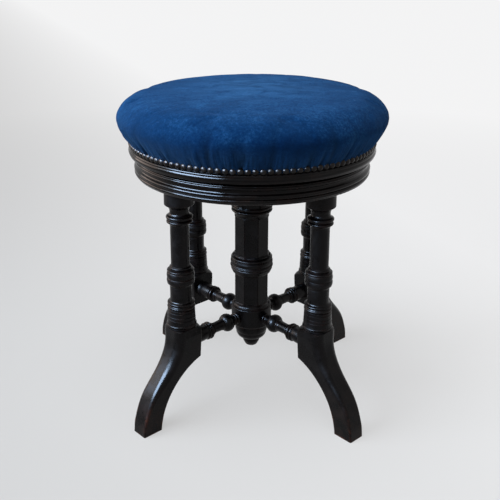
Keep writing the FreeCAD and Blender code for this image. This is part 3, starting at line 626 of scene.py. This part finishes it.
# %% Group: rubbed edges
def new_group(name, inputs, outputs):
    """Node group with number or vector inputs and number outputs; returns it with its two ends."""
    group = bpy.data.node_groups.new(name, "ShaderNodeTree")
    for label, value in inputs:
        kind = "NodeSocketVector" if value is None else "NodeSocketFloat"
        socket = group.interface.new_socket(label, in_out="INPUT", socket_type=kind)
        if value is not None:
            socket.default_value = value
    for label in outputs:
        group.interface.new_socket(label, in_out="OUTPUT", socket_type="NodeSocketFloat")
    return group, add(group, "NodeGroupInput"), add(group, "NodeGroupOutput")


rubbed, enter, leave = new_group("rubbed_edges", [("Width", 0.002), ("Breakup", 90.0), ("Vector", None)],
                                 ["Mask"])
rounded = add(rubbed, "ShaderNodeBevel", samples=4)
surface = add(rubbed, "ShaderNodeNewGeometry")
facing = add(rubbed, "ShaderNodeVectorMath", operation="DOT_PRODUCT")
rubbed.links.new(enter.outputs["Width"], rounded.inputs["Radius"])
rubbed.links.new(rounded.outputs["Normal"], facing.inputs[0])
rubbed.links.new(surface.outputs["Normal"], facing.inputs[1])
chips = add(rubbed, "ShaderNodeTexNoise", Detail=4.0, Roughness=0.65)
rubbed.links.new(enter.outputs["Vector"], chips.inputs["Vector"])
rubbed.links.new(enter.outputs["Breakup"], chips.inputs["Scale"])
edges = spread(rubbed, facing.outputs["Value"], 0.995, 0.93)
patchy = spread(rubbed, chips.outputs["Fac"], 0.44, 0.62)
rubbed.links.new(combine(rubbed, "MULTIPLY", edges, patchy), leave.inputs["Mask"])
print("group", rubbed.name, "ready")

# %% Group: wood grain
grain, enter, leave = new_group("wood_grain", [("Vector", None), ("Size", 1.0)], ["Pores", "Streaks"])
along = add(grain, "ShaderNodeMapping")
along.inputs["Scale"].default_value = (260.0, 260.0, 9.0)
grain.links.new(enter.outputs["Vector"], along.inputs["Vector"])
pores = add(grain, "ShaderNodeTexNoise", Detail=5.0, Roughness=0.7)
grain.links.new(along.outputs["Vector"], pores.inputs["Vector"])
grain.links.new(enter.outputs["Size"], pores.inputs["Scale"])
wide = add(grain, "ShaderNodeMapping")
wide.inputs["Scale"].default_value = (38.0, 38.0, 2.4)
grain.links.new(enter.outputs["Vector"], wide.inputs["Vector"])
streaks = add(grain, "ShaderNodeTexNoise", Detail=4.0, Roughness=0.6, Distortion=0.5)
grain.links.new(wide.outputs["Vector"], streaks.inputs["Vector"])
grain.links.new(enter.outputs["Size"], streaks.inputs["Scale"])
grain.links.new(spread(grain, pores.outputs["Fac"], 0.36, 0.5), leave.inputs["Pores"])
grain.links.new(streaks.outputs["Fac"], leave.inputs["Streaks"])
print("group", grain.name, "ready")

# %% Group: settled dirt
settled, enter, leave = new_group("settled_dirt", [("Vector", None), ("Scale", 60.0)], ["Mask"])
broad = add(settled, "ShaderNodeTexNoise", Detail=6.0, Roughness=0.65)
settled.links.new(enter.outputs["Vector"], broad.inputs["Vector"])
settled.links.new(enter.outputs["Scale"], broad.inputs["Scale"])
settled.links.new(spread(settled, broad.outputs["Fac"], 0.42, 0.68), leave.inputs["Mask"])
print("group", settled.name, "ready")

# %% [markdown]
# ## Ebonised wood
# Stained black and French polished, then rubbed by hands, shoes and dusters. The colour is almost
# black with a brown streak in it; edges wear through to brown, most of all near the floor. The
# polish is shiny, yet a little uneven, so roughness gets the dirt mask. Grain must run along each
# piece: the function turns the pattern for uprights, for the round boards and for the stretchers.

# %% Ebonised wood material
BLACK_DEEP = (0.0010, 0.0009, 0.0012)
BLACK_STREAK = (0.0036, 0.0026, 0.0026)
KICKED_BROWN = (0.020, 0.009, 0.006)
WORN_BROWN = (0.110, 0.034, 0.018)


def place_group(tree, group, vector, **values):
    """Places a node group in a material, with its vector and its own values."""
    node = add(tree, "ShaderNodeGroup", node_tree=group)
    tree.links.new(vector, node.inputs["Vector"])
    for name, value in values.items():
        node.inputs[name].default_value = value
    return node


def ebonised_wood(name, turn, shine):
    """Black French polish on wood whose grain runs along Z after the pattern is turned."""
    material, tree, place = new_material(name)
    turned = add(tree, "ShaderNodeMapping")
    turned.inputs["Rotation"].default_value = [math.radians(t) for t in turn]
    tree.links.new(place, turned.inputs["Vector"])
    fibre = place_group(tree, grain, turned.outputs["Vector"])
    edge = place_group(tree, rubbed, place, Width=0.0045, Breakup=70.0)
    dirt = place_group(tree, settled, place, Scale=48.0)
    height = axes_of(tree, place)["Z"]
    low = spread(tree, height, 0.02, 0.075, 1.0, 0.08)
    wear = combine(tree, "MULTIPLY", edge.outputs["Mask"], low)
    black = ramp(tree, fibre.outputs["Streaks"], [(0.35, BLACK_DEEP), (0.75, BLACK_STREAK)])
    kicked = spread(tree, height, 0.0, 0.08, 0.7, 0.08)
    kicked = combine(tree, "MULTIPLY", dirt.outputs["Mask"], kicked)
    black = mix_colours(tree, kicked, black, KICKED_BROWN)
    colour = mix_colours(tree, combine(tree, "MULTIPLY", wear, 0.85), black, WORN_BROWN)
    polish = add(tree, "ShaderNodeBsdfPrincipled", Specular_IOR_Level=0.09, IOR=1.5)
    tree.links.new(colour, polish.inputs["Base Color"])
    rough = spread(tree, dirt.outputs["Mask"], 0.0, 1.0, shine, 1.9 * shine)
    rough = combine(tree, "ADD", rough, combine(tree, "MULTIPLY", wear, 0.2))
    tree.links.new(rough, polish.inputs["Roughness"])
    bump = add(tree, "ShaderNodeBump", Strength=0.05, Distance=0.0002)
    tree.links.new(fibre.outputs["Pores"], bump.inputs["Height"])
    tree.links.new(bump.outputs["Normal"], polish.inputs["Normal"])
    cover_surface(tree, polish.outputs["BSDF"])
    return material


upright_wood = ebonised_wood("ebonised_upright", (0, 0, 0), 0.24)
board_wood = ebonised_wood("ebonised_board", (0, 90, 0), 0.13)
left_stretcher_wood = ebonised_wood("ebonised_stretcher_left", (0, 90, -45), 0.24)
right_stretcher_wood = ebonised_wood("ebonised_stretcher_right", (0, 90, 45), 0.24)
print("ebonised wood ready")

# %% [markdown]
# ## Metals
# The iron plate and bush are black and dull. The screw, its washer and nut and the wood screws are
# bare steel, bright on rubbed edges and stained with old grease. The nails are brass that has been
# darkened to bronze.

# %% Metal materials
def old_metal(name, clean, dull, shine, dirt_share):
    """Metal with bright rubbed edges and dull dirt in between."""
    material, tree, place = new_material(name)
    edge = place_group(tree, rubbed, place, Width=0.0008, Breakup=160.0)
    dirt = place_group(tree, settled, place, Scale=120.0)
    stain = combine(tree, "MULTIPLY", dirt.outputs["Mask"], dirt_share)
    colour = mix_colours(tree, stain, clean, dull)
    bright = tuple(min(1.0, 1.8 * c) for c in clean)
    colour = mix_colours(tree, combine(tree, "MULTIPLY", edge.outputs["Mask"], 0.6), colour, bright)
    metal = add(tree, "ShaderNodeBsdfPrincipled")
    tree.links.new(colour, metal.inputs["Base Color"])
    tree.links.new(spread(tree, stain, 0.0, 1.0, 1.0, 0.35), metal.inputs["Metallic"])
    rough = spread(tree, dirt.outputs["Mask"], 0.0, 1.0, shine, shine + 0.25)
    tree.links.new(rough, metal.inputs["Roughness"])
    bump = add(tree, "ShaderNodeBump", Strength=0.25, Distance=0.0002)
    tree.links.new(dirt.outputs["Mask"], bump.inputs["Height"])
    tree.links.new(bump.outputs["Normal"], metal.inputs["Normal"])
    cover_surface(tree, metal.outputs["BSDF"])
    return material


black_iron = old_metal("black_iron", (0.060, 0.056, 0.052), (0.030, 0.020, 0.014), 0.48, 0.8)
oiled_steel = old_metal("oiled_steel", (0.420, 0.400, 0.370), (0.060, 0.040, 0.022), 0.26, 0.75)
nail_bronze = old_metal("nail_bronze", (0.014, 0.012, 0.011), (0.006, 0.005, 0.005), 0.27, 0.4)
print("metals ready")

# %% [markdown]
# Each CAD piece keeps its shape and gets its material here.

# %% Dress the CAD pieces
def finish_of(name):
    """The material for a CAD piece, by its name."""
    if name.endswith("_leg") or name in ("centre_column", "column_drop"):
        return upright_wood
    if name in ("front_left_stretcher", "back_right_stretcher"):
        return left_stretcher_wood
    if name in ("front_right_stretcher", "back_left_stretcher"):
        return right_stretcher_wood
    if name in ("seat_board", "fixed_top"):
        return board_wood
    if name in ("seat_plate", "screw_bush"):
        return black_iron
    if name == "upholstery_nails":
        return nail_bronze
    return oiled_steel


for name, piece in nodes.items():
    material = finish_of(name)
    if piece.material_slots:
        for slot in piece.material_slots:
            slot.material = material
    else:
        piece.data.materials.append(material)
print("dressed", len(nodes), "pieces")
